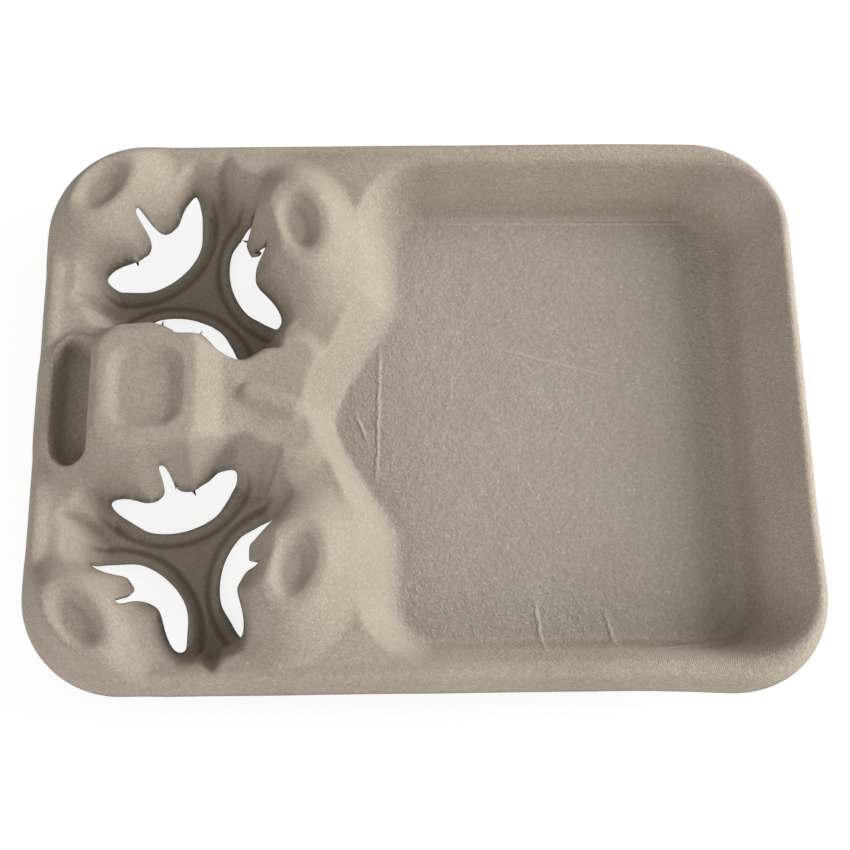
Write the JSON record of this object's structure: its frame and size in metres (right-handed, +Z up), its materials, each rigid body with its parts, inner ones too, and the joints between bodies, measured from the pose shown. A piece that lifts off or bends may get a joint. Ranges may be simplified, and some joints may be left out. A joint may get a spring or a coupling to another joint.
{
  "type": "cup carrier tray",
  "caption": "Moulded paper pulp carrier with cup wells that have slit flaps, a finger slot, and a deep food tray, all in one thin sheet.",
  "frame": {"origin": "middle of the bounding box at the level of the table the carrier stands on", "axes": "+X from the cup wells towards the food tray, +Y across the carrier from cup to cup, +Z up"},
  "size_m": [0.291, 0.2168, 0.05],
  "materials": {
    "pulp": "matt moulded fibre"
  },
  "bodies": {
    "root": {"cup_carrier": "pulp"}
  },
  "joints": []
}
